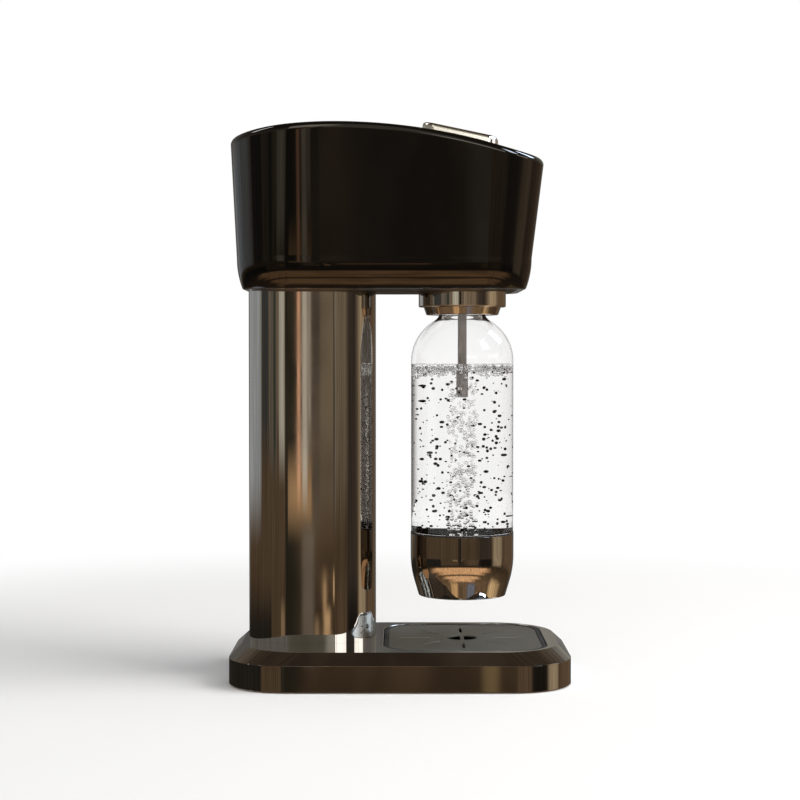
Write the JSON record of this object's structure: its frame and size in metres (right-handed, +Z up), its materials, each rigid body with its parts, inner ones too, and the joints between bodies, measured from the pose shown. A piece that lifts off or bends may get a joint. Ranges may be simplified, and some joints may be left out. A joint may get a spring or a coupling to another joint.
{
  "type": "sparkling water maker",
  "caption": "Upright sparkling water maker: arched head with a push button over a column, a bottle hung from a stepped collar above a slotted drip plate.",
  "frame": {"origin": "on the table, under the middle of the base", "axes": "+X to the front, where the bottle hangs; +Y to the left; +Z up"},
  "size_m": [0.268, 0.168, 0.4416],
  "materials": {
    "gloss_black": "deep gloss",
    "black_chrome": "polished, warm black chrome",
    "nickel": "satin nickel",
    "bronze": "satin bronze grey",
    "black_plastic": "matt",
    "clear_plastic": "clear",
    "tube_plastic": "satin",
    "brass": "turned",
    "steel": "plain",
    "aluminium": "satin",
    "rubber": "matt"
  },
  "bodies": {
    "machine": {"base_shell": "black_chrome", "base_plate": "black_plastic", "dish_seat": "black_plastic", "foot_1": "rubber", "foot_2": "rubber", "foot_3": "rubber", "foot_4": "rubber", "base_screw_1": "steel", "base_screw_2": "steel", "base_screw_3": "steel", "base_screw_4": "steel", "column_shell": "black_chrome", "column_foot": "black_plastic", "column_head": "black_plastic", "valve_block": "aluminium", "cylinder_seal": "rubber", "lever_spring": "steel", "head_chassis": "steel", "head_shell": "gloss_black", "head_undercover": "gloss_black", "head_screw_1": "steel", "head_screw_2": "steel", "head_screw_3": "steel", "head_screw_4": "steel", "lever_bracket": "steel", "lever_pin": "steel", "hose_fitting_rear": "brass", "hose_fitting_front": "brass", "gas_hose": "black_plastic", "bottle_collar": "black_chrome", "thread_ring": "black_plastic", "bottle_gasket": "rubber", "nozzle_block": "black_plastic", "relief_valve": "brass", "nozzle_tube": "tube_plastic", "tube_nut": "black_plastic"},
    "lever": {"lever_arm": "steel", "button_cap": "nickel"},
    "plunger": {"push_rod": "steel"},
    "gas_cylinder": {"cylinder_bottle": "aluminium", "cylinder_valve": "brass"},
    "pin": {"valve_pin": "steel"},
    "bottle": {"bottle_shell": "clear_plastic", "bottle_cup": "black_chrome"},
    "dish": {"drip_dish": "black_plastic"},
    "plate": {"drip_grille": "bronze"}
  },
  "joints": [
    {"name": "lever_press", "type": "hinge", "parent": "machine", "child": "lever", "pos_m": [-0.09935, 0, 0.4053], "axis": [0, 1, 0], "range_deg": [0, 2.5], "stiffness_Nm_per_rad": 30, "springref_deg": -1.72, "deforming": ["lever_spring"]},
    {"name": "plunger_slide", "type": "slide", "parent": "machine", "child": "plunger", "axis": [0, 0, -1], "range_m": [0, 0.0013]},
    {"name": "cylinder_out", "type": "slide", "parent": "machine", "child": "gas_cylinder", "axis": [0, 0, -1], "range_m": [0, 0.012]},
    {"name": "pin_slide", "type": "slide", "parent": "gas_cylinder", "child": "pin", "axis": [0, 0, -1], "range_m": [0, 0.0013]},
    {"name": "bottle_out", "type": "slide", "parent": "machine", "child": "bottle", "axis": [0, 0, -1], "range_m": [0, 0.015]},
    {"name": "dish_lift", "type": "slide", "parent": "machine", "child": "dish", "axis": [0, 0, 1], "range_m": [0, 0.009]},
    {"name": "plate_lift", "type": "slide", "parent": "dish", "child": "plate", "axis": [0, 0, 1], "range_m": [0, 0.008]}
  ],
  "couplings": [
    {"joint": "plunger_slide", "follows": "lever_press", "m_per_rad": 0.029},
    {"joint": "pin_slide", "follows": "lever_press", "m_per_rad": 0.029}
  ]
}
